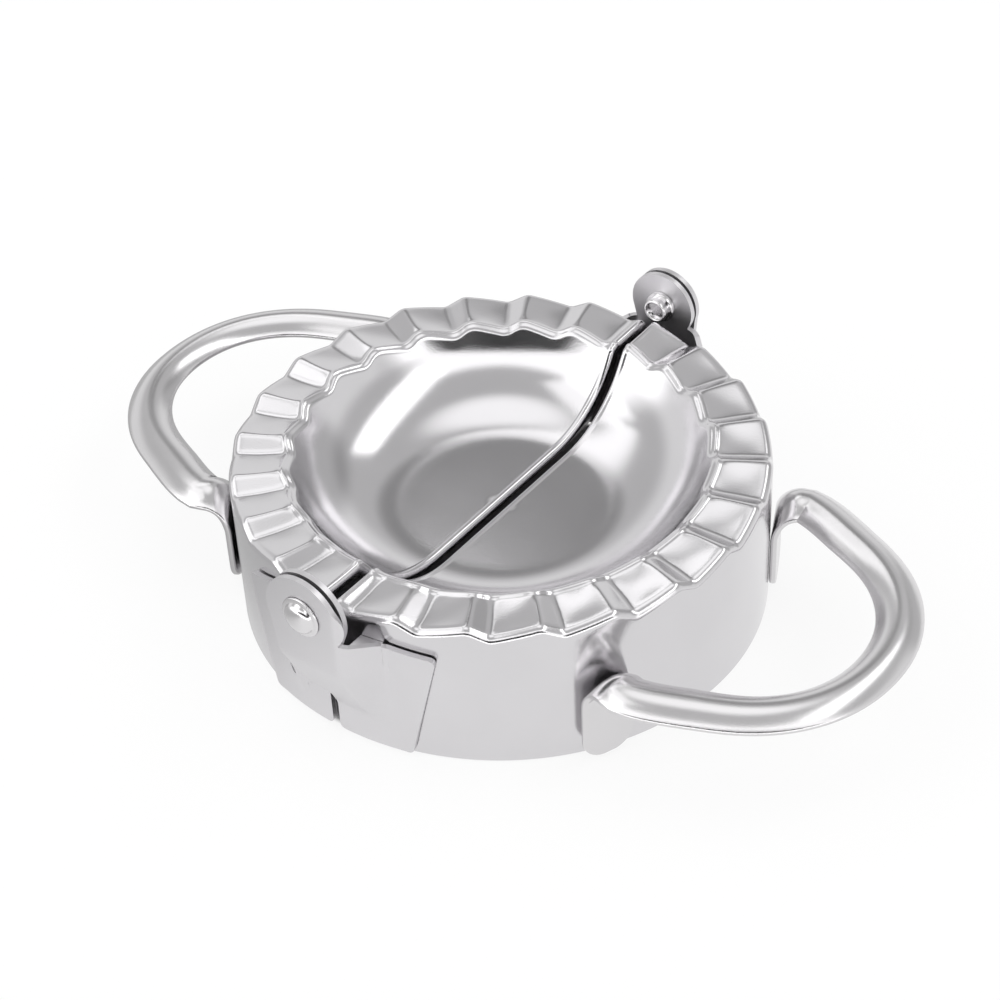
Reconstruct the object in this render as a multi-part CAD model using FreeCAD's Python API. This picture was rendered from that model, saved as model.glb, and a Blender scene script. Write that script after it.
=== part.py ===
import FreeCAD, Part
import math
import os

V = FreeCAD.Vector
os.makedirs("parts", exist_ok=True)

# Frame: X along the handles, Y along the hinge line, Z up, table at z = 0, split on x = 0.
# Each half is an exact half turn about its own upright axis, which stands half the split from x = 0.

# Mould: cutter skirt, pleated rim and bowl pressed from one sheet.
sheet = 0.8
split_gap = 1.4
rim_r = 47.2
rim_z = 28.7
mouth_r = 36.2
lip_drop = 2.2
axis_x = split_gap / 2

# Bowl: flat floor and one wall arc up to the rim, drawn as a few short cones.
bowl_depth = 12.0
floor_r = 17.4
wall_bands = 4
floor_z = rim_z - bowl_depth

# Pleats: slow tread and fast riser, same sense all round.
pleats = 24
pitch = 360.0 / pleats
riser_deg = 4.5
pleat_phase = 1.8
pleat_h = 1.9
clear_h = 4 * pleat_h

# Corners of the cutting edge at the split: chamfered at the back, rounded at the front.
chamfer_x = 5.0
chamfer_z = 2.0
corner_r = 1.2

# Hinge: two flat ears side by side on one line, outside the skirt.
hinge_rise = 1.3
ear_r = 7.5
plate_t = 1.0
ear_gap = 0.7
ear_stand = 3.7
hinge_z = rim_z + hinge_rise
ear_in = rim_r + ear_stand
ear_mid = ear_in + plate_t
ear_out = ear_mid + ear_gap
ear_face = ear_out + plate_t

# Hinge plates in front view: weld tab on the skirt, neck that leans out, ear with drawn-in sides.
tab_edge = 0.4
tab_corner = 1.0
tab_top = 23.2
tab_wide_top = 19.6
tab_wide_foot = 14.8
tab_foot = 0.8
neck_top = 24.3
knee_top = 26.2
neck_foot = 17.8
neck_lap = 0.8
relief = 1.0
knee_x = 7.2
outer_root = 11.0
inner_root = 12.5
outer_foot = 4.6
inner_foot = 3.2
shoulder_deg = 16.3
slot_x = 7.4
slot_z = 9.2
slot_wide = 0.9
slot_high = 2.6

# Rivets: rounded head on a brim outside, collar and hollow tail inside.
shank_r = 2.0
running = 0.06
end_play = 0.08
head_r = 3.8
head_h = 1.8
brim = 0.45
crown_r = 1.4
shoulder_r = 2.6
shoulder_h = 0.7
collar_r = 2.7
collar_t = 0.7
tail_len = 2.6
tail_r = 2.4
bore_r = 1.7
bore_deep = 0.8

# Handles: arched strip round an oval loop, ends turned down into flat feet.
# The inner edge of a foot meets the skirt, and the foot stands square to the leg, not to the skirt.
strip_t = 1.2
strip_z = 17.6
strip_side = 9.4
strip_tip = 8.4
strip_rise = 2.6
strip_bands = 6
loop_out = 0.9
loop_rx = 28.7
loop_ry = 26.0
loop_end = 72.0
loop_steps = 8
bend_r = 5.0
bend_off = 0.05
bend_steps = 6
join_steps = 3
foot_deg = 27.4
foot_turn = 14.3
foot_wide = 10.0
foot_low = 0.8
foot_round = 4.0
foot_steps = 5
loop_x = rim_r + loop_out


def polar(r, deg, z):
    a = math.radians(deg)
    return V(axis_x + r * math.cos(a), r * math.sin(a), z)


def flat_face(points):
    return Part.Face(Part.makePolygon(list(points) + [points[0]]))


def prism(points, vec):
    return flat_face(points).extrude(vec)


def skin(rings):
    # solid through a row of closed outlines, covered with flat triangles
    faces = [flat_face(rings[0]), flat_face(rings[-1])]
    for low, high in zip(rings, rings[1:]):
        for i in range(len(low)):
            faces.append(flat_face([low[i - 1], low[i], high[i]]))
            faces.append(flat_face([low[i - 1], high[i], high[i - 1]]))
    return Part.Solid(Part.Shell(faces))


def half_tube(r_out, r_in, z0, z1):
    # half ring on the right of the split
    base = V(axis_x, 0, z0)
    ring = Part.makeCylinder(r_out, z1 - z0, base, V(0, 0, 1), 180)
    ring = ring.cut(Part.makeCylinder(r_in, z1 - z0, base))
    ring.rotate(base, V(0, 0, 1), -90)
    return ring


def pleat_level(deg):
    # height at the rim's outer edge: crest before each riser, valley after it
    turn = (deg - pleat_phase + riser_deg / 2) % pitch
    if turn < riser_deg:
        return pleat_h * (0.5 - turn / riser_deg)
    return pleat_h * ((turn - riser_deg) / (pitch - riser_deg) - 0.5)


def pleat_angles():
    # every crest and valley on the right half, with the two ends at the split
    count = pleats // 4 + 1
    marks = [-90.0, 90.0]
    for k in range(-count, count + 1):
        for side in (-0.5, 0.5):
            deg = k * pitch + pleat_phase + side * riser_deg
            if -90 < deg < 90:
                marks.append(deg)
    return sorted(marks)


def fan(below, above):
    # solid from the pleated surface lowered by one height to the same surface raised by another
    reach = 1.5 * rim_r
    scale = reach / rim_r
    marks = pleat_angles()
    wedges = []
    for a, b in zip(marks, marks[1:]):
        ends = [polar(reach, d, rim_z + pleat_level(d) * scale - below) for d in (a, b)]
        wedges.append(prism([polar(0, 0, rim_z - below)] + ends, V(0, 0, below + above)))
    return wedges[0].multiFuse(wedges[1:]).removeSplitter()


def bowl_line(drop):
    # radial line of the bowl, from its middle to above the rim, at a depth below its inner face
    span = mouth_r - floor_r
    wall_r = (span ** 2 + bowl_depth ** 2) / (2 * bowl_depth)
    end = math.atan2(span, wall_r - bowl_depth)
    points = [V(axis_x, 0, floor_z - drop)]
    for i in range(wall_bands + 1):
        a = end * i / wall_bands
        r = wall_r + drop
        points.append(V(axis_x + floor_r + r * math.sin(a), 0, floor_z + wall_r - r * math.cos(a)))
    points.append(points[-1] + V(math.cos(end), 0, math.sin(end)) * (clear_h / math.sin(end)))
    return points


def bowl_section(upper, lower):
    # radial section between two depths
    points = bowl_line(upper) + bowl_line(lower)[::-1]
    return flat_face(points)


def bowl():
    section = bowl_section(0, sheet)
    section.rotate(V(axis_x, 0, 0), V(0, 0, 1), -90)
    return section.revolve(V(axis_x, 0, 0), V(0, 0, 1), 180)


def bowl_lip(side):
    # turned-down edge of the bowl along the split
    section = bowl_section(sheet / 2, lip_drop)
    section.rotate(V(axis_x, 0, 0), V(0, 0, 1), 90 * side)
    return section.extrude(V(sheet, 0, 0))


def mould():
    above = fan(0, clear_h * 2)
    ring = half_tube(rim_r - sheet / 2, mouth_r, 0, rim_z + clear_h)
    slab = Part.makeBox(sheet, 2 * rim_r, rim_z + clear_h, V(axis_x, -rim_r, 0))
    rim = fan(sheet, 0).common(ring)
    rim_lip = fan(lip_drop, 0).common(ring).common(slab)
    skirt = half_tube(rim_r, rim_r - sheet, 0, rim_z + clear_h)
    body = skirt.multiFuse([bowl(), bowl_lip(-1), bowl_lip(1)]).cut(above)
    body = body.multiFuse([rim, rim_lip])
    wedge = prism([V(axis_x, 0, 0), V(axis_x + chamfer_x, 0, 0), V(axis_x, 0, chamfer_z)], V(0, 2 * rim_r, 0))
    square = Part.makeBox(corner_r, 2 * rim_r, corner_r, V(axis_x, -2 * rim_r, 0))
    rod = Part.makeCylinder(corner_r, 2 * rim_r, V(axis_x + corner_r, 0, corner_r), V(0, -1, 0))
    return body.cut(wedge).cut(square.cut(rod)).removeSplitter()


def offset_path(points, dist):
    # parallel copy of an open plan polyline, mitred at the corners
    out = []
    for i, p in enumerate(points):
        dirs = []
        if i > 0:
            dirs.append((p - points[i - 1]).normalize())
        if i < len(points) - 1:
            dirs.append((points[i + 1] - p).normalize())
        normals = [V(-d.y, d.x, 0) for d in dirs]
        n = normals[0]
        if len(normals) == 2:
            n = (normals[0] + normals[1]) * (1.0 / (1.0 + normals[0].dot(normals[1])))
        out.append(p + n * dist)
    return out


def neck(ear_y, root_x):
    # bent strip from the skirt out to the plane of the ear
    root = V(root_x, -math.sqrt(rim_r ** 2 - (root_x - axis_x) ** 2), neck_foot)
    knee = V(knee_x, -ear_y, neck_foot)
    path = [root, knee, knee - V(plate_t, 0, 0)]
    bent = prism(path + offset_path(path, plate_t)[::-1], V(0, 0, knee_top - neck_foot))
    front = [(0, neck_foot), (0, knee_top), (knee_x, knee_top), (root_x, neck_top), (root_x, neck_foot)]
    return bent.common(prism([V(x, 0, z) for x, z in front], V(0, -2 * rim_r, 0)))


def ear(ear_y, foot_x):
    # flat ear: round top, sides drawn in towards the foot
    a = math.radians(shoulder_deg)
    outline = [(-ear_r * math.cos(a), hinge_z - ear_r * math.sin(a)), (-foot_x, neck_foot),
               (knee_x, neck_foot), (knee_x, knee_top), (ear_r / 2, hinge_z)]
    flat = prism([V(x, -ear_y, z) for x, z in outline], V(0, -plate_t, 0))
    return flat.fuse(Part.makeCylinder(ear_r, plate_t, V(0, -ear_y, hinge_z), V(0, -1, 0)))


def tab(root_x):
    # weld tab that lies on the skirt, with a relief cut under the neck
    left = axis_x + tab_edge
    lap = root_x - neck_lap
    outline = [(lap, neck_foot), (lap, neck_top), (tab_wide_top, tab_top), (tab_wide_foot, tab_foot),
               (left + tab_corner, tab_foot), (left, tab_foot + tab_corner), (left, neck_foot - relief),
               (lap, neck_foot - relief)]
    shape = prism([V(x, 0, z) for x, z in outline], V(0, -2 * rim_r, 0))
    return half_tube(rim_r + plate_t, rim_r, 0, rim_z).common(shape)


def plate(ear_y, root_x, foot_x, hole_r):
    # hinge plate of the right half at the front end
    hole = Part.makeCylinder(hole_r, 2 * ear_face, V(0, 0, hinge_z), V(0, -1, 0))
    return ear(ear_y, foot_x).multiFuse([neck(ear_y, root_x), tab(root_x)]).cut(hole).removeSplitter()


def outer_plate(hole_r):
    return plate(ear_out, outer_root, outer_foot, hole_r)


def inner_plate(hole_r):
    # the inner plate has a short upright slot in its tab
    slot = Part.makeBox(slot_wide, 2 * rim_r, slot_high, V(slot_x, -2 * rim_r, slot_z))
    return plate(ear_in, inner_root, inner_foot, hole_r).cut(slot)


def rivet():
    # front rivet, turned about the hinge line
    under = -(ear_face + end_play)
    seat = -(ear_in - end_play)
    tail = -(ear_in - tail_len)
    crown = under - head_h
    outline = [(head_r, under), (shank_r, under), (shank_r, seat), (collar_r, seat),
               (collar_r, seat + collar_t), (tail_r, seat + collar_t), (tail_r, tail), (bore_r, tail),
               (bore_r, tail - bore_deep), (0, tail - bore_deep), (0, crown), (crown_r, crown),
               (shoulder_r, crown + shoulder_h), (shoulder_r, under - brim), (head_r, under - brim)]
    turned = flat_face([V(r, y, 0) for r, y in outline]).revolve(V(0, 0, 0), V(0, 1, 0), 360)
    turned.translate(V(0, 0, hinge_z))
    return turned


def smooth(t):
    t = max(0.0, min(1.0, t))
    return t * t * (3 - 2 * t)


def arch(left, right, up, rise):
    # points of a parabola from one edge to the other
    out = []
    for i in range(strip_bands + 1):
        t = i / strip_bands
        out.append(left + (right - left) * t + up * (rise * 4 * t * (1 - t)))
    return out


def strip_section(at, across, up, wide, rise):
    # closed outline of the arched strip, the same thickness all over
    slope = 4 * rise / wide
    lean = strip_t / math.hypot(1.0, slope)
    left = at - across * (wide / 2)
    right = at + across * (wide / 2)
    inset = across * (slope * lean) - up * lean
    outset = across * (-slope * lean) - up * lean
    upper = arch(left, right, up, rise)
    lower = arch(left + inset, right + outset, up, rise + lean - strip_t)
    return upper + lower[::-1]


def loop_point(deg):
    # place and direction on the oval middle line of the loop
    t = math.radians(deg)
    at = V(loop_x + loop_rx * math.cos(t), loop_ry * math.sin(t), strip_z)
    return at, V(-loop_rx * math.sin(t), loop_ry * math.cos(t), 0).normalize()


def foot_frame():
    # middle of the top of the front foot, on its face towards the skirt, its outward direction and its width
    a = math.radians(foot_turn)
    out_dir = V(math.cos(a), -math.sin(a), 0)
    side = V(out_dir.y, -out_dir.x, 0)
    return polar(rim_r + bend_off, -foot_deg, strip_z - bend_r) + side * (foot_wide / 2), out_dir, side


def loop_stations():
    # front half of the handle from the top of its foot: place, across, up, width and rise
    top, out_dir, side = foot_frame()
    z_up = V(0, 0, 1)
    hub = top + out_dir * bend_r
    stations = []
    for i in range(bend_steps + 1):
        phi = math.radians(90 * (1 - i / bend_steps))
        up = out_dir * -math.sin(phi) + z_up * math.cos(phi)
        mix = smooth((i - 1) / bend_steps)
        wide = foot_wide + (strip_side - foot_wide) * mix
        stations.append((hub + up * bend_r, side, up, wide, strip_rise * mix))
    # curve that joins the foot to the oval
    p0 = hub + z_up * bend_r
    p3, d3 = loop_point(-loop_end)
    arm = (p3 - p0).Length / 3
    p1 = p0 + out_dir * arm
    p2 = p3 - d3 * arm
    for i in range(1, join_steps):
        f = i / join_steps
        g = 1 - f
        at = p0 * g ** 3 + p1 * (3 * g * g * f) + p2 * (3 * g * f * f) + p3 * f ** 3
        run = ((p1 - p0) * g ** 2 + (p2 - p1) * (2 * g * f) + (p3 - p2) * f ** 2).normalize()
        stations.append((at, V(run.y, -run.x, 0), z_up, strip_side, strip_rise))
    for i in range(loop_steps + 1):
        deg = -loop_end * (1 - i / loop_steps)
        at, run = loop_point(deg)
        wide = strip_side - (strip_side - strip_tip) * math.cos(math.radians(deg)) ** 2
        stations.append((at, V(run.y, -run.x, 0), z_up, wide, strip_rise))
    return stations


def foot():
    # front foot of the handle: a flat tab with a round lower end
    top, out_dir, side = foot_frame()
    drop = top.z - foot_low - foot_round
    half = foot_wide / 2 - foot_round
    outline = [(-foot_wide / 2, 0), (foot_wide / 2, 0)]
    for turn in (0, 90):
        for i in range(foot_steps + 1):
            a = math.radians(turn + 90 * i / foot_steps)
            middle = half if turn == 0 else -half
            outline.append((middle + foot_round * math.cos(a), -drop - foot_round * math.sin(a)))
    return prism([top + side * u + V(0, 0, z) for u, z in outline], out_dir * strip_t)


def turned_half(shape):
    # right half to left half
    other = shape.copy()
    other.rotate(V(0, 0, 0), V(0, 0, 1), 180)
    return other


def flipped(shape):
    # front end to back end
    return shape.mirror(V(0, 0, 0), V(0, 1, 0))


def handle():
    front = loop_stations()

    def mirror(v):
        return V(v.x, -v.y, v.z)

    back = [(mirror(p), mirror(a), mirror(u), w, r) for p, a, u, w, r in front[-2::-1]]
    loop = skin([strip_section(*s) for s in front + back])
    return loop.multiFuse([foot(), flipped(foot())])


nodes = {}
nodes["mould_right"] = mould()
nodes["handle_right"] = handle()
nodes["plate_front_right"] = outer_plate(shank_r + running)
nodes["plate_back_right"] = flipped(inner_plate(shank_r + running))
nodes["mould_left"] = turned_half(nodes["mould_right"])
nodes["handle_left"] = turned_half(nodes["handle_right"])
nodes["plate_back_left"] = turned_half(outer_plate(shank_r))
nodes["plate_front_left"] = turned_half(flipped(inner_plate(shank_r)))
nodes["rivets"] = Part.makeCompound([rivet(), turned_half(rivet())])

for name, shape in nodes.items():
    shape.exportStep("parts/" + name + ".step")
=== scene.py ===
import math

import bmesh
import bpy
from mathutils import Matrix, Vector


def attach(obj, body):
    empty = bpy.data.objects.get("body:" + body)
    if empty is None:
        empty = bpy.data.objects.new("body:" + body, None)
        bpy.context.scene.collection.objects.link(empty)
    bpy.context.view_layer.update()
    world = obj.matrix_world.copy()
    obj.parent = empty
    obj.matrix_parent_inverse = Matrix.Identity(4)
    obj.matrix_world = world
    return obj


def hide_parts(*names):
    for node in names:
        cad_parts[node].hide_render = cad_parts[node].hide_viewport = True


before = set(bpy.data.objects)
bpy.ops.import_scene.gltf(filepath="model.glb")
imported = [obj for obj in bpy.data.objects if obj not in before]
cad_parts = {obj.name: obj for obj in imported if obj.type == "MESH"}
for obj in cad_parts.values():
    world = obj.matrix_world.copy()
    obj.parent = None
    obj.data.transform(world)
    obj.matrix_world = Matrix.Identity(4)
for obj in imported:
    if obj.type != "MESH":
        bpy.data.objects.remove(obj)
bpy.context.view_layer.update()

# All sizes are in millimetres, in the frame of the part: X along the handles, Y along the hinge, Z up.
MM = 0.001

# Mould: skirt, pleated rim and bowl in one sheet.
sheet = 0.8
axis_x = 0.7
rim_r = 47.2
rim_z = 28.7
mouth_r = 36.2
bowl_depth = 12.0
floor_r = 17.4
floor_z = rim_z - bowl_depth
edge_r = 1.5
mouth_edge_r = 1.5
mouth_wave = 1.5
bead_h = 0.3
bead_w = 0.42
bead_out = 0.6
pad_dish = 0.25
pad_start = mouth_r + 2.0
foot_edge = 0.25
chamfer_x = 5.0
chamfer_z = 2.0
corner_r = 1.2

# Where the mould's forms run out: share of the pleats left at a depth down the skirt,
# run of the mouth's wave toward the rim, and slope at which the round wall starts below the mouth.
fade_drop = 2.8
fade_share = 0.15
wave_run = 4.0
wall_top_deg = 58.0

# Turned-down lip along the split.
fold_r = 1.5
lip_drop = 2.5
lip_bead = 0.42
fold_steps = 8

# Pleats.
pleats = 24
pitch = 360.0 / pleats
riser_deg = 4.5
pleat_phase = 1.8
pleat_h = 1.9
pleat_soft = 0.9
mouth_soft = 2.0
soften_from = mouth_r + 4.0
soften_over = 3.0

# Columns of the mould's mesh: kept on the pleats up to this angle, evened out inside this radius.
keep_deg = 84.0
even_from = 34.0
even_over = 14.0

# Hinge plates.
hinge_z = rim_z + 1.3
ear_r = 7.5
back_ear_r = 6.6
plate_t = 1.0
ear_in = rim_r + 3.7
ear_out = ear_in + plate_t + 0.7
ear_face = ear_out + plate_t
tab_edge = 0.05
tab_top = 23.2
tab_wide_top = 19.6
tab_wide_foot = 14.8
tab_foot = 0.8
neck_top = 24.3
knee_top = 26.2
neck_foot = 17.8
outer_neck = 10.5
inner_neck = neck_foot - 1.0
inner_raise = 1.7
back_drop = 2.2
knee_x = 7.2
outer_root = 11.0
inner_root = 12.5
outer_foot = 4.6
inner_foot = 3.2
shoulder_deg = 16.3
bend_soft = 0.9
slot_box = (7.4, 9.2, 0.9, 2.6)
slot_round = 0.4
plate_edge = 0.18

# Corners of a plate's outline: reach past the two bends, end of the ear above the knee, and roundings.
knee_reach = 0.5
root_reach = 0.3
ear_stop = 0.6
knee_round = 0.6
neck_round = 0.8
tab_round = 1.0

# Lift of a tab's free edges off the skirt, with its run below the top edge and along the outer edge.
tab_lift = 0.3
lift_run_z = 6.0
lift_from_x = tab_wide_foot - 3.0
lift_run_x = 5.0

# Lean of the plates: heights of its foot along the slit, of its foot beside the bend and of its top,
# and where along X one foot goes over into the other.
outer_lean = (7.0, 7.0, 19.5)
inner_lean = (11.0, 4.5, 20.5)
lean_from = 4.8
lean_over = 2.4

# Web turned in from the top of the outer neck.
web_x = 6.5
web_t = 0.6
web_stop = 0.4
web_drop = 0.1

# Rivets.
shank_r = 2.0
running = 0.06
end_play = 0.08
head_r = 3.8
dome_r = 2.9
dome_h = 1.79
brim_h = 0.45
brim_round = 0.22
brim_step = 0.12
brim_flat = 0.3
collar_r = 3.0
collar_t = 0.9
tail_len = 2.6
tail_r = 2.4
bore_r = 1.7
bore_deep = 0.8
rivet_sides = 48

# Handles.
strip_t = 1.2
strip_z = 17.6
strip_side = 9.4
strip_tip = 8.4
strip_rise = 2.6
strip_edge = 0.45
loop_x = rim_r + 0.9
loop_rx = 28.9
loop_ry = 26.0
loop_end = 72.0
loop_square = 2.1
bend_r = 5.0
bend_off = 0.05
foot_deg = 27.4
foot_turn = 22.0
back_turn = 26.0
foot_wide = 10.0
foot_low = 0.8
foot_round = 4.0
ease_passes = 14

# Mesh: angle above which an edge stays sharp, angle above which one is bevelled, and merging distance.
sharp_deg = 38
bevel_deg = 55
merge_gap = 0.002

# Camera: turn about Z from the front, height above the table, roll, distance and offsets.
camera_turn = 38.715
camera_rise = 39.784
camera_roll = 2.938
camera_far = 436.36
camera_side = 1.111
camera_drop = -13.421
camera_lens = 85.69

# Steel: noise scales of the fine grain and of the slow clouds, strength and depth of the bump.
grain_scale = 4200.0
cloud_scale = 45.0
bump_strength = 0.2
bump_depth = 0.00005

# Studio, where 1 is white: walls, more of it at the camera's side and overhead,
# shares left by the cards and the haze, and the floor.
wall_level = 0.62
side_more = 0.95
top_more = 0.75
card_share = 0.55
dim_share = 0.62
haze_share = 1.5
flag_share = 0.02
floor_colour = 0.97
floor_share = 0.85
# Painted shade: the floor's glow as seen in the metal falls to this share on the left, from this X.
floor_shade_left = 0.5
floor_shade_left_x = -55.0
floor_size = 3.0
floor_sink = 0.0001


def smooth(t):
    t = max(0.0, min(1.0, t))
    return t * t * (3 - 2 * t)


def span(first, last, count):
    return [first + (last - first) * i / count for i in range(count + 1)]


def polar(r, deg, z):
    a = math.radians(deg)
    return Vector((axis_x + r * math.cos(a), r * math.sin(a), z))


def to_object(bm, name):
    bmesh.ops.recalc_face_normals(bm, faces=bm.faces)
    mesh = bpy.data.meshes.new(name)
    bm.to_mesh(mesh)
    bm.free()
    mesh.transform(Matrix.Scale(MM, 4))
    mesh.shade_smooth()
    mesh.set_sharp_from_angle(angle=math.radians(sharp_deg))
    obj = bpy.data.objects.new(name, mesh)
    bpy.context.collection.objects.link(obj)
    return obj


def grid(rows, closed=False):
    # mesh through rows of points, each row as long as the next
    bm = bmesh.new()
    verts = [[bm.verts.new(p) for p in row] for row in rows]
    for low, high in zip(verts, verts[1:]):
        for i in range(0 if closed else 1, len(low)):
            bm.faces.new((low[i - 1], low[i], high[i], high[i - 1]))
    return bm, verts


def thicken(bm, thick):
    # closed shell from an open sheet: second skin at the given depth behind the first
    bm.normal_update()
    sheet_faces = list(bm.faces)
    border = [e for e in bm.edges if len(e.link_faces) == 1]
    loops = []
    for e in border:
        loop = e.link_loops[0]
        loops.append((loop.vert, loop.link_loop_next.vert))
    back = {v: bm.verts.new(v.co - v.normal * thick) for v in list(bm.verts)}
    for f in sheet_faces:
        bm.faces.new([back[v] for v in reversed(f.verts)])
    for a, b in loops:
        bm.faces.new((b, a, back[a], back[b]))


# Mould

def pleat_level(deg, soft):
    # height at the rim's outer edge, with the crest and the valley of each riser rounded over a few degrees
    turn = (deg - pleat_phase + riser_deg / 2) % pitch
    tread_deg = pitch - riser_deg
    if turn < riser_deg:
        level = pleat_h * (0.5 - turn / riser_deg)
    else:
        level = pleat_h * ((turn - riser_deg) / tread_deg - 0.5)
    kink = pleat_h / riser_deg + pleat_h / tread_deg
    for edge, side in ((0.0, -1), (riser_deg, 1), (pitch, -1)):
        gap = abs(turn - edge)
        if gap < soft:
            level += side * kink * (soft - gap) ** 2 / (4 * soft)
    return level


def tread_share(deg):
    # 1 in the middle of a tread, falling to 0 at both of its edges and on the riser
    turn = (deg - pleat_phase + riser_deg / 2) % pitch
    u = 2 * (turn - riser_deg) / (pitch - riser_deg) - 1
    return max(0.0, 1 - u * u)


def mould_angles():
    # columns of the mould: close together at each crest and valley
    near = [pleat_soft * k for k in (-1.2, -0.75, -0.25, 0.25, 0.75, 1.2)]
    marks = {-90.0, 90.0}
    count = pleats // 4 + 2
    for k in range(-count, count + 1):
        crest = k * pitch + pleat_phase - riser_deg / 2
        valley = crest + riser_deg
        marks.update(crest + d for d in near)
        marks.update(valley + d for d in near)
        marks.update(span(crest + 1.6, valley - 1.6, 2))
        marks.update(span(valley + 1.9, crest + pitch - 1.9, 6))
    return sorted(m for m in marks if -90 <= m <= 90)


def mould_profile():
    # rows from the cutting edge up and over to the middle of the bowl:
    # radius, height, share of the pleat in height and in radius, share of the lip
    rows = [(rim_r - foot_edge, 0.0, 0, 0, 0), (rim_r, foot_edge, 0, 0, 0)]
    rows += [(rim_r, z, 0, 0, 0) for z in span(3.0, rim_z - 5, 6)]
    rows.append((rim_r, rim_z - fade_drop, fade_share, 0, 0))
    for a in span(0, 90, 8):
        c, s = math.cos(math.radians(a)), math.sin(math.radians(a))
        rows.append((rim_r - edge_r + edge_r * c, rim_z - edge_r + edge_r * s, 1, 0, smooth(a / 90)))
    wall_run = mouth_r - floor_r
    wall_r = (wall_run ** 2 + bowl_depth ** 2) / (2 * bowl_depth)
    end = math.atan2(wall_run, wall_r - bowl_depth)
    slip = mouth_edge_r * math.tan(end / 2)
    lean = 1 / math.tan(end)
    mouth_start = mouth_r + slip
    bead_r = mouth_start + bead_out / 2
    for r in span(rim_r - edge_r - 0.8, mouth_start + 2.4, 6) + span(mouth_start + 2.0, mouth_start, 10):
        bead = bead_h * math.exp(-((r - bead_r) / bead_w) ** 2)
        wave = lean * mouth_wave * smooth((mouth_start + wave_run - r) / wave_run)
        rows.append((r, rim_z + bead, 1, wave, 1))
    for a in span(0, end, 7)[1:]:
        r = mouth_start - mouth_edge_r * math.sin(a)
        rows.append((r, rim_z - mouth_edge_r * (1 - math.cos(a)), 1, lean * mouth_wave, 1))
    for a in span(wall_top_deg, 0, 19):
        c, s = math.cos(math.radians(a)), math.sin(math.radians(a))
        rows.append((floor_r + wall_r * s, floor_z + wall_r * (1 - c), 0, 0, 1))
    for r in span(floor_r - 1.5, fold_r, 10):
        rows.append((r, floor_z, 0, 0, 1))
    return rows


def foot_level(x, y):
    # cutting edge: chamfered at the back end of the split, rounded at the front end
    if y > 0:
        return max(0.0, chamfer_z * (1 - x / chamfer_x))
    if x < corner_r:
        return corner_r - math.sqrt(corner_r ** 2 - (corner_r - x) ** 2)
    return 0.0


def column_angle(r, mark):
    # angle of a column at a radius, so that the last column stays one fold radius from the split
    limit = math.degrees(math.acos(min(1.0, fold_r / r)))
    even = mark * limit / 90
    kept = mark
    if abs(mark) > keep_deg:
        squeezed = (abs(mark) - keep_deg) * (limit - keep_deg) / (90 - keep_deg)
        kept = math.copysign(keep_deg + squeezed, mark)
    mix = smooth((even_from - r) / even_over)
    return kept + (even - kept) * mix


def mould_rows():
    # points of the sheet, row by row, with the lip added at both ends of each row
    profile = mould_profile()
    marks = mould_angles()
    reach = 4
    cutting_rows = 2
    rows = []
    for i, (r, z, share, lean, lip) in enumerate(profile):
        before, after = profile[max(0, i - reach)], profile[min(len(profile) - 1, i + reach)]
        run = Vector((after[0] - before[0], after[1] - before[1])).normalized()
        normal = Vector((run.y, -run.x))
        row = []
        for mark in marks:
            deg = column_angle(r, mark)
            soft = pleat_soft + (mouth_soft - pleat_soft) * smooth((soften_from - r) / soften_over)
            level = pleat_level(deg, soft) * r / rim_r
            across = 2 * (r - pad_start) / (rim_r - edge_r - pad_start) - 1
            dish = pad_dish * tread_share(deg) * max(0.0, 1 - across * across)
            p = polar(r + level * lean, deg, z + (level - dish) * share)
            if i < cutting_rows:
                p.z += foot_level(p.x - axis_x, p.y)
            row.append(p)
        ends = []
        for p, side in ((row[0], -1), (row[-1], 1)):
            down = Vector((0, side * normal.x, normal.y + 1)).normalized() * -1
            fold = []
            for k in range(1, fold_steps + 1):
                f = math.radians(90 * k / fold_steps)
                sink = fold_r * (1 - math.cos(f)) - lip_bead * math.sin(2 * f)
                fold.append(p + Vector((-fold_r * math.sin(f), 0, 0)) + down * (lip * sink))
            for drop in span(fold_r + 0.4, lip_drop, 2):
                fold.append(p + Vector((-fold_r, 0, 0)) + down * (lip * drop))
            ends.append(fold)
        rows.append(ends[0][::-1] + row + ends[1])
    return rows


def mould(name):
    bm, _ = grid(mould_rows())
    bmesh.ops.remove_doubles(bm, verts=bm.verts, dist=merge_gap)
    bmesh.ops.recalc_face_normals(bm, faces=bm.faces)
    top = max(bm.faces, key=lambda f: f.calc_center_median().z)
    if top.normal.z < 0:
        bmesh.ops.reverse_faces(bm, faces=bm.faces)
    thicken(bm, sheet)
    return to_object(bm, name)


# Handle

def strip_ring(at, across, up, wide, rise):
    # closed outline of the arched strip with rounded edges;
    # each point is a place across, from -1 to 1, and a depth below the upper face
    flat = 1 - 2 * strip_edge / wide
    edge = []
    for a in (30, 60, 90):
        f = math.radians(a)
        edge.append((flat + (1 - flat) * math.sin(f), strip_edge * (1 - math.cos(f))))
    half = [(u, 0.0) for u in span(-flat, flat, 14)] + edge
    ring = half + [(u, strip_t - d) for u, d in half[::-1]]
    ring += [(-u, strip_t - d) for u, d in edge]
    ring += [(-u, d) for u, d in edge[::-1]]
    out = []
    for u, d in ring:
        normal = (up + across * (4 * rise * u / wide)).normalized()
        out.append(at + across * (u * wide / 2) + up * (rise * (1 - u * u)) - normal * d)
    return out


def loop_point(deg):
    # place and heading on the handle's loop, an oval with full shoulders
    def place(angle):
        c, s = math.cos(math.radians(angle)), math.sin(math.radians(angle))
        across = math.copysign(abs(s) ** (2 / loop_square), s)
        return Vector((loop_x + loop_rx * abs(c) ** (2 / loop_square), loop_ry * across, strip_z))
    return place(deg), (place(deg + 0.5) - place(deg - 0.5)).normalized()


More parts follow.
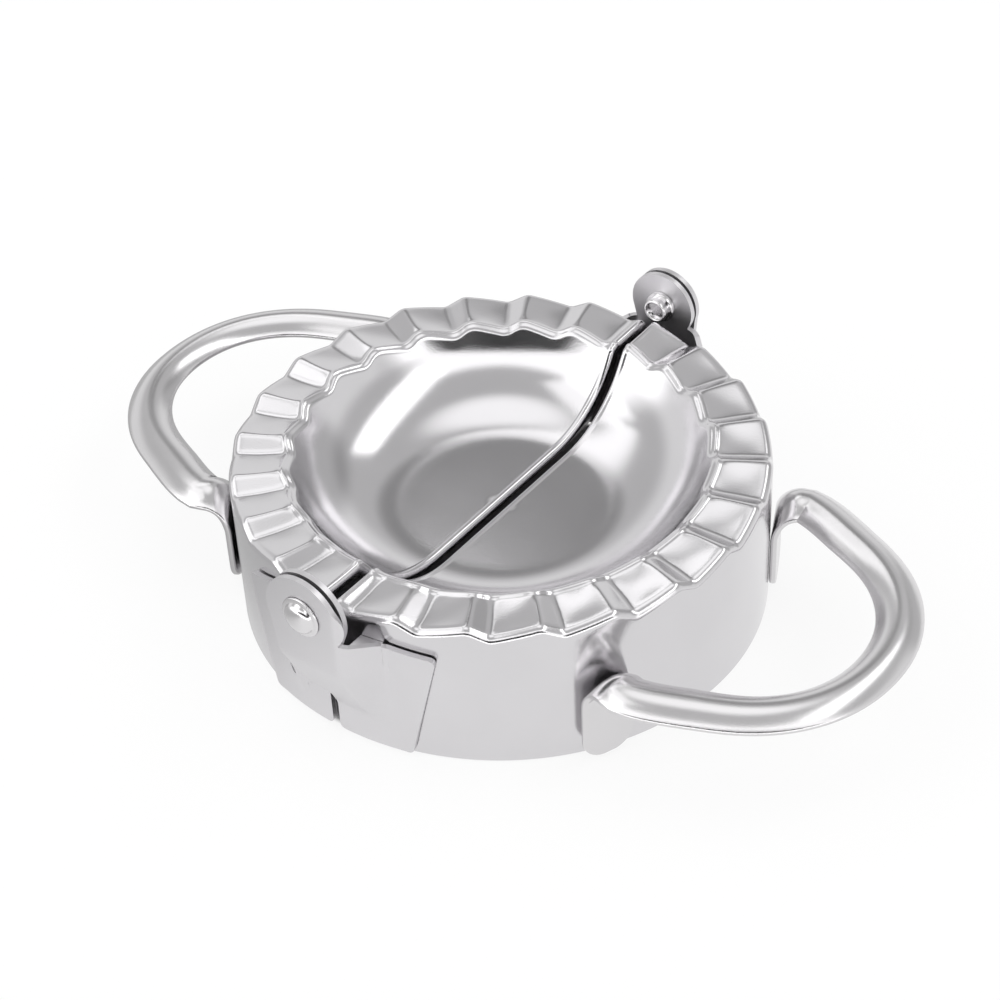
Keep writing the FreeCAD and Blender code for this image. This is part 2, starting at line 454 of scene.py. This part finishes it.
def handle_stations(foot_face):
    # front half of the handle from the lower end of its foot: place, across, up, width and rise
    turn = math.radians(foot_face)
    out_dir = Vector((math.cos(turn), -math.sin(turn), 0))
    side = Vector((out_dir.y, -out_dir.x, 0))
    z_up = Vector((0, 0, 1))
    top = polar(rim_r + bend_off, -foot_deg, strip_z - bend_r) + side * (foot_wide / 2)
    stations = []
    steps = [foot_low + foot_round * (1 - math.cos(math.radians(a))) for a in span(10, 90, 9)]
    for z in steps + span(foot_low + foot_round + 1.5, top.z - 1, 4):
        rest = max(0.0, foot_low + foot_round - z)
        wide = foot_wide - 2 * foot_round + 2 * math.sqrt(foot_round ** 2 - rest ** 2)
        stations.append((top + Vector((0, 0, z - top.z)), side, -out_dir, wide, 0.0))
    hub = top + out_dir * bend_r
    turns = 18
    for i in range(turns + 1):
        phi = math.radians(90 * (1 - i / turns))
        up = out_dir * -math.sin(phi) + z_up * math.cos(phi)
        mix = smooth(i / turns * 1.1 - 0.1)
        wide = foot_wide + (strip_side - foot_wide) * mix
        stations.append((hub + up * bend_r, side, up, wide, strip_rise * mix))
    p0 = hub + z_up * bend_r
    p3, d3 = loop_point(-loop_end)
    arm = (p3 - p0).length / 3
    p1 = p0 + out_dir * arm
    p2 = p3 - d3 * arm
    joins = 10
    for i in range(1, joins):
        f = i / joins
        g = 1 - f
        at = p0 * g ** 3 + p1 * (3 * g * g * f) + p2 * (3 * g * f * f) + p3 * f ** 3
        run = ((p1 - p0) * g ** 2 + (p2 - p1) * (2 * g * f) + (p3 - p2) * f ** 2).normalized()
        stations.append((at, Vector((run.y, -run.x, 0)), z_up, strip_side, strip_rise))
    for deg in span(-loop_end, 0, 26):
        at, run = loop_point(deg)
        wide = strip_side - (strip_side - strip_tip) * math.cos(math.radians(deg)) ** 2
        stations.append((at, Vector((run.y, -run.x, 0)), z_up, wide, strip_rise))
    return stations


def eased(stations):
    # even out the run between the two bends, keeping the strip level and square to its run
    spots = [list(st) for st in stations]
    level = [i for i, st in enumerate(stations) if st[2].z > 0.999]
    inner = level[2:-2]
    for _ in range(ease_passes):
        before = [st[0].copy() for st in spots]
        for i in inner:
            spots[i][0] = (before[i - 1] + before[i] * 2 + before[i + 1]) / 4
    for i in inner:
        run = spots[i + 1][0] - spots[i - 1][0]
        spots[i][1] = Vector((run.y, -run.x, 0)).normalized()
    return spots


def handle(name):
    front = handle_stations(foot_turn)
    flip = Matrix.Diagonal((1, -1, 1))
    back = [(flip @ p, flip @ a, flip @ u, w, r) for p, a, u, w, r in handle_stations(back_turn)[-2::-1]]
    rings = [strip_ring(*st) for st in eased(front + back)]
    bm, verts = grid(rings, closed=True)
    bm.faces.new(verts[0])
    bm.faces.new(verts[-1][::-1])
    return to_object(bm, name)


# Hinge plates

def rounded(corners, steps=6):
    # closed outline with each corner (x, z, radius) rounded
    out = []
    count = len(corners)
    for i, (x, z, r) in enumerate(corners):
        p = Vector((x, z))
        a = (Vector(corners[i - 1][:2]) - p).normalized()
        b = (Vector(corners[(i + 1) % count][:2]) - p).normalized()
        if r <= 0:
            out.append(p)
            continue
        half = math.acos(max(-1, min(1, a.dot(b)))) / 2
        reach = r / math.tan(half)
        hub = p + (a + b).normalized() * (r / math.sin(half))
        start = p + a * reach - hub
        stop = p + b * reach - hub
        sweep = start.angle_signed(stop)
        for k in range(steps + 1):
            turn = Matrix.Rotation(-sweep * k / steps, 2)
            out.append(hub + turn @ start)
    return out


def circle(r, angles):
    # places in the front view on a circle about the hinge
    turns = [math.radians(deg) for deg in angles]
    return [(r * math.cos(a), hinge_z + r * math.sin(a)) for a in turns]


def plate_outline(disc_r, root_x, foot_x, rise, neck_low):
    # round the ear from its far shoulder, then along the neck, round the tab and up beside the slit
    left = axis_x + tab_edge
    last = -math.degrees(math.asin((hinge_z - knee_top - rise - ear_stop) / disc_r))
    ear = [(x, z, 0) for x, z in circle(disc_r, span(180 + shoulder_deg, last, 40))]
    rest = [
        (knee_x + knee_reach, knee_top + rise, knee_round),
        (root_x + root_reach, neck_top + rise, neck_round),
        (tab_wide_top, tab_top, tab_round),
        (tab_wide_foot, tab_foot, tab_round),
        (left, tab_foot, tab_round),
        (left, neck_low, tab_round),
        (-foot_x, neck_low, neck_round),
    ]
    return rounded(ear + rest)


def lean_share(x, z, lean):
    # straight rise from 0 at the foot of the lean to 1 at its top, with both ends rounded;
    # the foot has one height along the slit and another beside the bend
    slit_foot, bend_foot, top = lean
    foot = slit_foot + (bend_foot - slit_foot) * smooth((x - lean_from) / lean_over)
    run = top - foot

    def area(at):
        climb = max(0.0, min(run, at - foot))
        return climb * climb / (2 * run) + max(0.0, at - top)
    return (area(z + bend_soft) - area(z - bend_soft)) / (2 * bend_soft)


def plate_y(x, z, ear_y, root_x, lean):
    # inner face of the plate at a place in the front view: on the skirt at the foot, out to the ear above
    lift_up = smooth((z - tab_top + lift_run_z) / lift_run_z)
    lift = tab_lift * max(lift_up, smooth((x - lift_from_x) / lift_run_x))
    round_y = -math.sqrt(max(0.0, (rim_r + lift) ** 2 - (x - axis_x) ** 2))
    if x > root_x + bend_soft:
        return round_y
    root_y = -math.sqrt(rim_r ** 2 - (root_x - axis_x) ** 2)
    slope = (root_y + ear_y) / (root_x - knee_x)
    skirt_slope = (root_x - axis_x) / math.sqrt(rim_r ** 2 - (root_x - axis_x) ** 2)
    if x < knee_x:
        y = -ear_y
    elif x < root_x:
        y = -ear_y + slope * (x - knee_x)
    else:
        y = round_y
    for at, kink in ((knee_x, slope), (root_x, skirt_slope - slope)):
        gap = abs(x - at)
        if gap < bend_soft:
            y += kink * (bend_soft - gap) ** 2 / (4 * bend_soft)
    return round_y + (y - round_y) * lean_share(x, z, lean)


def neck_web(bm, z, ear_y, root_x, lean):
    # top of the neck turned in level to the skirt
    stops = span(web_x, root_x - web_stop, 8)
    ring = [(x, plate_y(x, z, ear_y, root_x, lean)) for x in stops]
    ring += [(x, -math.sqrt((rim_r + running) ** 2 - (x - axis_x) ** 2)) for x in stops[::-1]]
    top = [bm.verts.new((x, y, z)) for x, y in ring]
    low = [bm.verts.new((x, y, z - web_t)) for x, y in ring]
    bm.faces.new(top)
    bm.faces.new(low[::-1])
    for i in range(len(ring)):
        bm.faces.new((top[i - 1], low[i - 1], low[i], top[i]))


def plate(name, disc_r, rise, ear_y, root_x, foot_x, neck_low, lean, slotted, turn):
    # flat outline with its holes, cut fine for the bends, laid on its surface and thickened
    bm = bmesh.new()
    loops = [plate_outline(disc_r, root_x, foot_x, rise, neck_low)]
    loops.append(circle(shank_r + running, range(0, 360, 10)))
    if slotted:
        x, z, w, h = slot_box
        corners = [(x, z), (x, z + h), (x + w, z + h), (x + w, z)]
        loops.append(rounded([corner + (slot_round,) for corner in corners]))
    edges = []
    for loop in loops:
        verts = [bm.verts.new((x, 0, z)) for x, z in loop]
        edges += [bm.edges.new((verts[i - 1], verts[i])) for i in range(len(verts))]
    bmesh.ops.triangle_fill(bm, use_beauty=True, edges=edges, normal=(0, -1, 0))
    cuts = span(knee_x - bend_soft, knee_x + bend_soft, 6) + span(root_x - bend_soft, root_x + bend_soft, 6)
    cuts += span(1.5, 18.5, 17)
    places = [((x, 0, 0), (1, 0, 0)) for x in cuts]
    top = lean[2]
    heights = span(3.0, top - 2, 16) + span(top - bend_soft, top + bend_soft, 6)
    places += [((0, 0, z), (0, 0, 1)) for z in heights]
    for place, across in places:
        geom = list(bm.verts) + list(bm.edges) + list(bm.faces)
        bmesh.ops.bisect_plane(bm, geom=geom, dist=1e-5, plane_co=place, plane_no=across)
    for v in bm.verts:
        v.co.y = plate_y(v.co.x, v.co.z, ear_y, root_x, lean)
    bm.normal_update()
    if sum(f.normal.y * f.calc_area() for f in bm.faces) > 0:
        bmesh.ops.reverse_faces(bm, faces=bm.faces)
    thicken(bm, -plate_t)
    if not slotted:
        neck_web(bm, neck_top + rise - web_drop, ear_y, root_x, lean)
    bmesh.ops.transform(bm, matrix=turn, verts=bm.verts)
    obj = to_object(bm, name)
    bevel = obj.modifiers.new("edge", "BEVEL")
    bevel.width = plate_edge * MM
    bevel.segments = 2
    bevel.limit_method = "ANGLE"
    bevel.angle_limit = math.radians(bevel_deg)
    return obj


# Rivets

def rivet_profile():
    # radius and place along the hinge line, from the top of the dome to the bottom of the bore
    under = -(ear_face + end_play)
    seat = -(ear_in - end_play)
    tail = -(ear_in - tail_len)
    points = []
    for a in span(90, 8, 12):
        f = math.radians(a)
        points.append((dome_r * math.cos(f), under - brim_h - (dome_h - brim_h) * math.sin(f)))
    brim = under - brim_h
    points += [(dome_r + brim_step, brim + 0.02), (head_r - brim_flat, brim + 0.08)]
    for a in span(70, -10, 4):
        f = math.radians(a)
        r = head_r - brim_round * (1 - math.cos(f))
        points.append((r, brim + 0.32 - brim_round * math.sin(f)))
    points += [(head_r - 0.05, under), (shank_r, under), (shank_r, seat), (collar_r, seat)]
    collar = seat + collar_t
    points += [(collar_r, collar - 0.2), (collar_r - 0.15, collar), (tail_r, collar)]
    wall = (tail_r - bore_r) / 2
    for a in span(0, 180, 6):
        f = math.radians(a)
        points.append((bore_r + wall * (1 + math.cos(f)), tail - wall * (1 - math.sin(f))))
    points += [(bore_r, tail - bore_deep), (bore_r - 0.4, tail - bore_deep - 0.05)]
    return points


def rivets(name):
    bm = bmesh.new()
    for turn in (0, 180):
        spin = Matrix.Rotation(math.radians(turn), 4, "Z")
        rings = []
        for r, y in rivet_profile():
            ring = []
            for x, z in circle(r, [360 * i / rivet_sides for i in range(rivet_sides)]):
                ring.append(bm.verts.new(spin @ Vector((x, y, z))))
            rings.append(ring)
        for low, high in zip(rings, rings[1:]):
            for i in range(rivet_sides):
                bm.faces.new((low[i - 1], low[i], high[i], high[i - 1]))
        bm.faces.new(rings[-1])
    bmesh.ops.remove_doubles(bm, verts=bm.verts, dist=merge_gap)
    return to_object(bm, name)


# Nodes

def put(tree, socket, value):
    # link from another node's output, or a plain value
    if isinstance(value, bpy.types.NodeSocket):
        tree.links.new(value, socket)
    else:
        socket.default_value = value


def operation(tree, node_type, kind, values):
    node = tree.nodes.new(node_type)
    node.operation = kind
    for socket, value in zip(node.inputs, values):
        put(tree, socket, value)
    return node.outputs


def number(tree, kind, *values):
    return operation(tree, "ShaderNodeMath", kind, values)[0]


def vector(tree, kind, *values):
    return operation(tree, "ShaderNodeVectorMath", kind, values)


def blend(tree, value, first, last, low, high, kind="SMOOTHSTEP"):
    # from low to high as the value goes from first to last
    node = tree.nodes.new("ShaderNodeMapRange")
    node.interpolation_type = kind
    names = ("Value", "From Min", "From Max", "To Min", "To Max")
    for name, given in zip(names, (value, first, last, low, high)):
        put(tree, node.inputs[name], given)
    return node.outputs[0]


# Materials

def steel(name, colour, rough, grain, smear, inner_rough=None):
    # satin steel: fine grain in gloss and surface, slow cloudy change of gloss and shade;
    # inner_rough gives the bowl a gloss of its own
    mat = bpy.data.materials.new(name)
    mat.use_nodes = True
    tree = mat.node_tree
    shader = tree.nodes["Principled BSDF"]
    shader.inputs["Metallic"].default_value = 1.0
    place = tree.nodes.new("ShaderNodeTexCoord").outputs["Object"]

    def noise(scale, detail):
        node = tree.nodes.new("ShaderNodeTexNoise")
        put(tree, node.inputs["Vector"], place)
        put(tree, node.inputs["Scale"], scale)
        put(tree, node.inputs["Detail"], detail)
        return node.outputs["Fac"]

    fine = noise(grain_scale, 2)
    mixed = number(tree, "MULTIPLY_ADD", fine, grain, noise(cloud_scale, 4))
    gloss = blend(tree, mixed, 0.3, 0.8 + grain, rough - smear, rough + smear, "LINEAR")
    if inner_rough:
        flat = vector(tree, "MULTIPLY", place, (1, 1, 0))["Vector"]
        away = vector(tree, "LENGTH", flat)["Value"]
        bowl_end = (mouth_r - 2.5) * MM
        rim_start = (mouth_r + 0.5) * MM
        change = blend(tree, away, bowl_end, rim_start, inner_rough - rough, 0.0)
        gloss = number(tree, "ADD", gloss, change)
    put(tree, shader.inputs["Roughness"], gloss)
    shade = tree.nodes.new("ShaderNodeValToRGB")
    for stop, at, share in zip(shade.color_ramp.elements, (0.35, 0.95), (0.95, 1.03)):
        stop.position = at
        stop.color = [c * share for c in colour] + [1]
    put(tree, shade.inputs["Fac"], mixed)
    put(tree, shader.inputs["Base Color"], shade.outputs["Color"])
    bump = tree.nodes.new("ShaderNodeBump")
    put(tree, bump.inputs["Strength"], bump_strength)
    put(tree, bump.inputs["Distance"], bump_depth)
    put(tree, bump.inputs["Height"], fine)
    put(tree, shader.inputs["Normal"], bump.outputs["Normal"])
    return mat


finishes = {
    "mould_steel": steel("satin_mould", (0.67, 0.66, 0.675), 0.16, 0.3, 0.03, 0.13),
    "handle_steel": steel("satin_handle", (0.68, 0.67, 0.68), 0.21, 0.25, 0.05),
    "plate_steel": steel("satin_plate", (0.67, 0.66, 0.675), 0.38, 0.3, 0.05),
    "rivet_steel": steel("bright_rivet", (0.72, 0.71, 0.72), 0.14, 0.2, 0.03),
}


# Pieces

half_turn = Matrix.Rotation(math.pi, 4, "Z")
to_back = Matrix.Diagonal((1, -1, 1, 1))
identity = Matrix.Identity(4)


def finish_piece(obj, slot, body, node):
    obj.data.materials.append(finishes[slot])
    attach(obj, body)
    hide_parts(node)


def turned(obj):
    obj.data.transform(half_turn)
    return obj


finish_piece(mould("mould_right_sheet"), "mould_steel", "right_half", "mould_right")
finish_piece(turned(mould("mould_left_sheet")), "mould_steel", "left_half", "mould_left")
finish_piece(handle("handle_right_strip"), "handle_steel", "right_half", "handle_right")
finish_piece(turned(handle("handle_left_strip")), "handle_steel", "left_half", "handle_left")
outer = (ear_out, outer_root, outer_foot, outer_neck, outer_lean, False)
inner = (ear_in, inner_root, inner_foot, inner_neck, inner_lean, True)
plates = (
    ("plate_front_right", "right_half", ear_r, 0, outer, identity),
    ("plate_back_right", "right_half", back_ear_r, 0, inner, to_back),
    ("plate_back_left", "left_half", back_ear_r, -back_drop, outer, half_turn),
    ("plate_front_left", "left_half", ear_r, inner_raise, inner, half_turn @ to_back),
)
for node, body, disc_r, rise, form, place in plates:
    finish_piece(plate(node + "_sheet", disc_r, rise, *form, place), "plate_steel", body, node)
finish_piece(rivets("rivet_pair"), "rivet_steel", "left_half", "rivets")


# Studio

def to_sky(turn, rise):
    a, e = math.radians(turn), math.radians(rise)
    return Vector((math.cos(a) * math.cos(e), math.sin(a) * math.cos(e), math.sin(e)))


def softbox(name, turn, rise, far, wide, high, level):
    # area lamp that looks at the part; level is its brightness, where 1 is white
    lamp = bpy.data.lights.new(name, "AREA")
    lamp.shape = "RECTANGLE"
    lamp.size = wide
    lamp.size_y = high
    lamp.energy = level * math.pi * wide * high
    obj = bpy.data.objects.new(name, lamp)
    place = to_sky(turn, rise) * far
    obj.location = place
    obj.rotation_euler = place.to_track_quat("Z", "Y").to_euler()
    obj.visible_camera = False
    bpy.context.collection.objects.link(obj)


def studio_floor():
    # white floor that keeps the shadow; its glow ends where the part covers it,
    # and in the metal its glow is dimmed toward the left as a painted shade
    mat = bpy.data.materials.new("studio_floor")
    mat.use_nodes = True
    tree = mat.node_tree
    tree.nodes.clear()
    ray = tree.nodes.new("ShaderNodeLightPath").outputs
    metal = number(tree, "MAXIMUM", ray["Is Glossy Ray"], ray["Is Transmission Ray"])
    seen = number(tree, "MAXIMUM", ray["Is Camera Ray"], metal)
    place = tree.nodes.new("ShaderNodeTexCoord").outputs["Object"]
    away = vector(tree, "LENGTH", place)["Value"]
    clear = blend(tree, away, (rim_r - 1) * MM, rim_r * MM, 0.0, floor_share, "LINEAR")
    diffuse = tree.nodes.new("ShaderNodeBsdfDiffuse")
    diffuse.inputs["Color"].default_value = (floor_colour, floor_colour, floor_colour, 1)
    split = tree.nodes.new("ShaderNodeSeparateXYZ")
    put(tree, split.inputs[0], place)
    # painted shade: the floor's glow as seen in the metal falls toward the left
    left_shade = blend(tree, split.outputs["X"], floor_shade_left_x * MM, 0.0, floor_shade_left, 1.0)
    glow = tree.nodes.new("ShaderNodeEmission")
    glow.inputs["Color"].default_value = (1, 1, 1, 1)
    put(tree, glow.inputs["Strength"], number(tree, "MAXIMUM", ray["Is Camera Ray"], left_shade))
    mix = tree.nodes.new("ShaderNodeMixShader")
    put(tree, mix.inputs["Fac"], number(tree, "MULTIPLY", seen, clear))
    put(tree, mix.inputs[1], diffuse.outputs[0])
    put(tree, mix.inputs[2], glow.outputs[0])
    out = tree.nodes.new("ShaderNodeOutputMaterial")
    put(tree, out.inputs["Surface"], mix.outputs[0])
    bm = bmesh.new()
    bmesh.ops.create_grid(bm, x_segments=2, y_segments=2, size=floor_size)
    mesh = bpy.data.meshes.new("studio_floor")
    bm.to_mesh(mesh)
    bm.free()
    mesh.materials.append(mat)
    obj = bpy.data.objects.new("studio_floor", mesh)
    obj.location.z = -floor_sink
    bpy.context.collection.objects.link(obj)


def studio_world():
    # light walls on the camera's side, grey behind and above,
    # grey cards at the back and a dark one in front
    world = bpy.data.worlds.new("studio")
    bpy.context.scene.world = world
    world.use_nodes = True
    tree = world.node_tree
    sky = tree.nodes.new("ShaderNodeTexCoord").outputs["Generated"]
    up = (0, 0, 1)

    def squashed(high):
        scaled = vector(tree, "MULTIPLY", sky, (1, 1, high))["Vector"]
        return vector(tree, "NORMALIZE", scaled)["Vector"]

    def toward(source, direction, first, last, low, high):
        # from low to high as the look turns toward a direction; first and last are cosines of the angle
        dot = vector(tree, "DOT_PRODUCT", source, direction)["Value"]
        return blend(tree, dot, first, last, low, high)

    def times(first, second):
        return number(tree, "MULTIPLY", first, second)

    wall_side = toward(squashed(0), to_sky(285, 0), 0.1, 0.5, 0.0, side_more)
    wall_top = toward(sky, up, 0.74, 0.82, 1.0, 0.0)
    walls = number(tree, "MULTIPLY_ADD", wall_side, wall_top, wall_level)
    ceiling = toward(sky, to_sky(135, 79), 0.92, 0.985, 0.0, top_more)
    bright = number(tree, "ADD", walls, ceiling)
    card = toward(sky, to_sky(127, 41), 0.965, 0.995, 1.0, card_share)
    dim = toward(sky, to_sky(78, 12), 0.9, 0.97, 1.0, dim_share)
    haze = toward(sky, up, 0.3, 0.5, haze_share, 1.0)
    front = toward(squashed(2), to_sky(302, 0), 0.54, 0.58, 0.0, 1.0)
    dark = times(front, toward(sky, up, 0.17, 0.24, 0.0, 1.0))
    flag = blend(tree, dark, 0.0, 1.0, 1.0, flag_share, "LINEAR")
    level = times(bright, times(times(card, dim), times(haze, flag)))
    camera_ray = tree.nodes.new("ShaderNodeLightPath").outputs["Is Camera Ray"]
    back = tree.nodes["Background"]
    back.inputs["Color"].default_value = (1, 1, 1, 1)
    put(tree, back.inputs["Strength"], number(tree, "MAXIMUM", camera_ray, level))


def studio_camera():
    t, e, w = (math.radians(v) for v in (camera_turn, camera_rise, camera_roll))
    back = Vector((math.sin(t) * math.cos(e), -math.cos(t) * math.cos(e), math.sin(e)))
    level = Vector((math.cos(t), math.sin(t), 0))
    upright = back.cross(level)
    right = level * math.cos(w) - upright * math.sin(w)
    up = level * math.sin(w) + upright * math.cos(w)
    place = (back * camera_far - right * camera_side - up * camera_drop) * MM
    data = bpy.data.cameras.new("camera")
    data.lens = camera_lens
    data.sensor_width = 36.0
    data.clip_start = 0.01
    obj = bpy.data.objects.new("camera", data)
    obj.matrix_world = Matrix.Translation(place) @ Matrix((right, up, back)).transposed().to_4x4()
    bpy.context.collection.objects.link(obj)
    bpy.context.scene.camera = obj


softbox("lamp_left", turn=160, rise=53, far=1.0, wide=0.8, high=0.23, level=0.9)
softbox("lamp_right", turn=34, rise=53, far=1.0, wide=1.15, high=0.3, level=1.6)
softbox("lamp_front", turn=222, rise=56, far=1.0, wide=0.6, high=0.45, level=0.8)
studio_floor()
studio_world()
studio_camera()
bpy.context.scene.view_settings.view_transform = "Standard"
